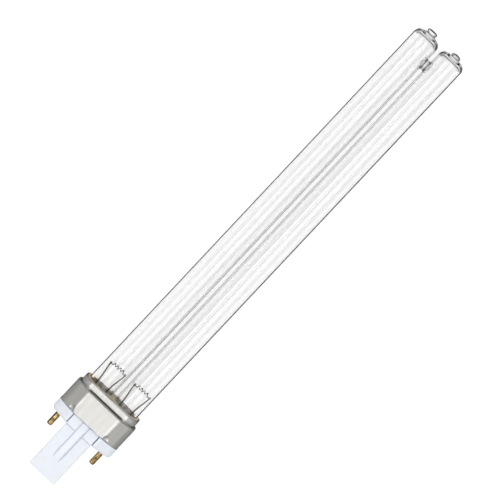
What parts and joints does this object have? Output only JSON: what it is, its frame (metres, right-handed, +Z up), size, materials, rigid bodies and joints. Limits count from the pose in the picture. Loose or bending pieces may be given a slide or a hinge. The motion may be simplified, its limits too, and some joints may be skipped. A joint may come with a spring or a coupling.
{
  "type": "twin-tube germicidal lamp",
  "caption": "Clear twin-leg ultraviolet germicidal lamp with a bridge near the far ends, a metal-shelled white cap, contact pins and a hollow plug-in post.",
  "frame": {"origin": "centre of the floor footprint's bounding box, at the height of the surface that the lamp lies on", "axes": "+X along the lamp towards the sealed ends of the legs, +Y across the pair of legs, +Z up from the surface; the lamp lies on its back, on the shell's shoulder and the leg ends"},
  "size_m": [0.2356, 0.0308, 0.0184],
  "materials": {
    "glass": "clear quartz glass, fire polished",
    "aluminium": "drawn sheet, satin",
    "cement": "cast basing cement, matt",
    "white_plastic": "moulded, semi-gloss",
    "brass": "drawn and crimped, bright",
    "nickel_wire": "drawn wire, slightly oxidised",
    "tungsten": "coiled wire with pale emitter coating",
    "starter_glass": "clear, fire polished",
    "bimetal": "rolled strip",
    "capacitor_resin": "dipped resin",
    "sleeve": "woven insulating sleeve, matt"
  },
  "bodies": {
    "root": {"glass_envelope": "glass", "cap_shell": "aluminium", "basing_cement": "cement", "base_body": "white_plastic", "starter_bottle": "starter_glass", "starter_fixed_electrode": "nickel_wire", "starter_bimetal": "bimetal", "capacitor": "capacitor_resin", "outer_lead_left": "nickel_wire", "inner_lead_left": "nickel_wire", "electrode_coil_left": "tungsten", "contact_pin_left": "brass", "lead_ferrule_left": "brass", "lead_sleeve_left": "sleeve", "capacitor_lead_left": "nickel_wire", "outer_lead_right": "nickel_wire", "inner_lead_right": "nickel_wire", "electrode_coil_right": "tungsten", "contact_pin_right": "brass", "lead_ferrule_right": "brass", "lead_sleeve_right": "sleeve", "capacitor_lead_right": "nickel_wire"}
  },
  "joints": []
}
